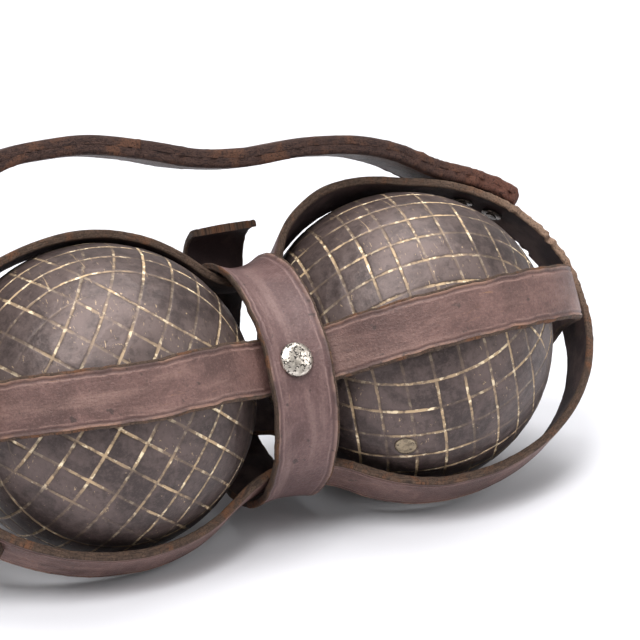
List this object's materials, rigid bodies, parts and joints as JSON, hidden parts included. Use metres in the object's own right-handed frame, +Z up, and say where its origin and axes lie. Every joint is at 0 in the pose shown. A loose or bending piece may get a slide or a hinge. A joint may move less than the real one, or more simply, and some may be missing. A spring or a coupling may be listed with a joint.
{
  "type": "boule carrier with boules",
  "caption": "Riveted leather strap cage with a carrying handle, holding cross-scored metal playing boules side by side; the boules turn in the cage and the handle flexes.",
  "frame": {"origin": "centre of the footprint on the surface the carrier lies on", "axes": "+X along the row of boules towards the right one, -Y towards the viewer, +Z up from the surface"},
  "size_m": [0.2486, 0.1028, 0.1321],
  "materials": {
    "boule_bronze": "dark brown-grey patina on bronze, scored grid with pale dusty lines",
    "plug_bronze": "slightly lighter patinated filler plug",
    "cage_leather": "worn brown strap leather with creased borders and rough tan edges",
    "band_leather": "worn brown strap leather with creased borders",
    "band_leather_flesh": "dark matt flesh side",
    "handle_leather": "dark brown waxed edges on a two-ply handle",
    "rivet_metal": "tarnished nickel plate with dark pitting"
  },
  "bodies": {
    "cage": {"band_back_burr": "rivet_metal", "band_back_rivet": "rivet_metal", "band_front_burr": "rivet_metal", "band_front_rivet": "rivet_metal", "cage_strap_horizontal": "cage_leather", "cage_strap_vertical": "cage_leather", "handle_inner_ply_left_end": "handle_leather", "handle_inner_ply_right_end": "handle_leather", "handle_left_burr": "rivet_metal", "handle_left_rivet": "rivet_metal", "handle_outer_ply_left_end": "handle_leather", "handle_outer_ply_right_end": "handle_leather", "handle_right_inner_burr": "rivet_metal", "handle_right_inner_rivet": "rivet_metal", "handle_right_outer_burr": "rivet_metal", "handle_right_outer_rivet": "rivet_metal", "horizontal_lap_burr": "rivet_metal", "horizontal_lap_rivet": "rivet_metal", "left_end_burr": "rivet_metal", "left_end_rivet": "rivet_metal", "right_end_burr": "rivet_metal", "right_end_rivet": "rivet_metal", "vertical_lap_burr": "rivet_metal", "vertical_lap_rivet": "rivet_metal", "waist_band": "band_leather"},
    "handle": {"handle_outer_ply": "handle_leather", "handle_inner_ply": "handle_leather"},
    "band_tail": {"band_tail": "band_leather_flesh"},
    "left_boule": {"left_boule": "boule_bronze", "left_boule_plug": "plug_bronze"},
    "right_boule": {"right_boule": "boule_bronze", "right_boule_plug": "plug_bronze"}
  },
  "joints": [
    {"name": "left_boule_spin", "type": "hinge", "parent": "cage", "child": "left_boule", "pos_m": [-0.0518, 0.0018, 0.04964], "axis": [1, 0, 0], "continuous": true},
    {"name": "right_boule_spin", "type": "hinge", "parent": "cage", "child": "right_boule", "pos_m": [0.0564, 0.0018, 0.04964], "axis": [1, 0, 0], "continuous": true},
    {"name": "handle_swing", "type": "hinge", "parent": "cage", "child": "handle", "pos_m": [-0.0277, 0.01787, 0.09909], "axis": [1, 0, 0], "range_deg": [-35, 35], "stiffness_Nm_per_rad": 0.06},
    {"name": "band_tail_bend", "type": "hinge", "parent": "cage", "child": "band_tail", "pos_m": [0.00155, 0.03657, 0.0646], "axis": [1, 0, 0], "range_deg": [-48, 17], "stiffness_Nm_per_rad": 0.01}
  ]
}
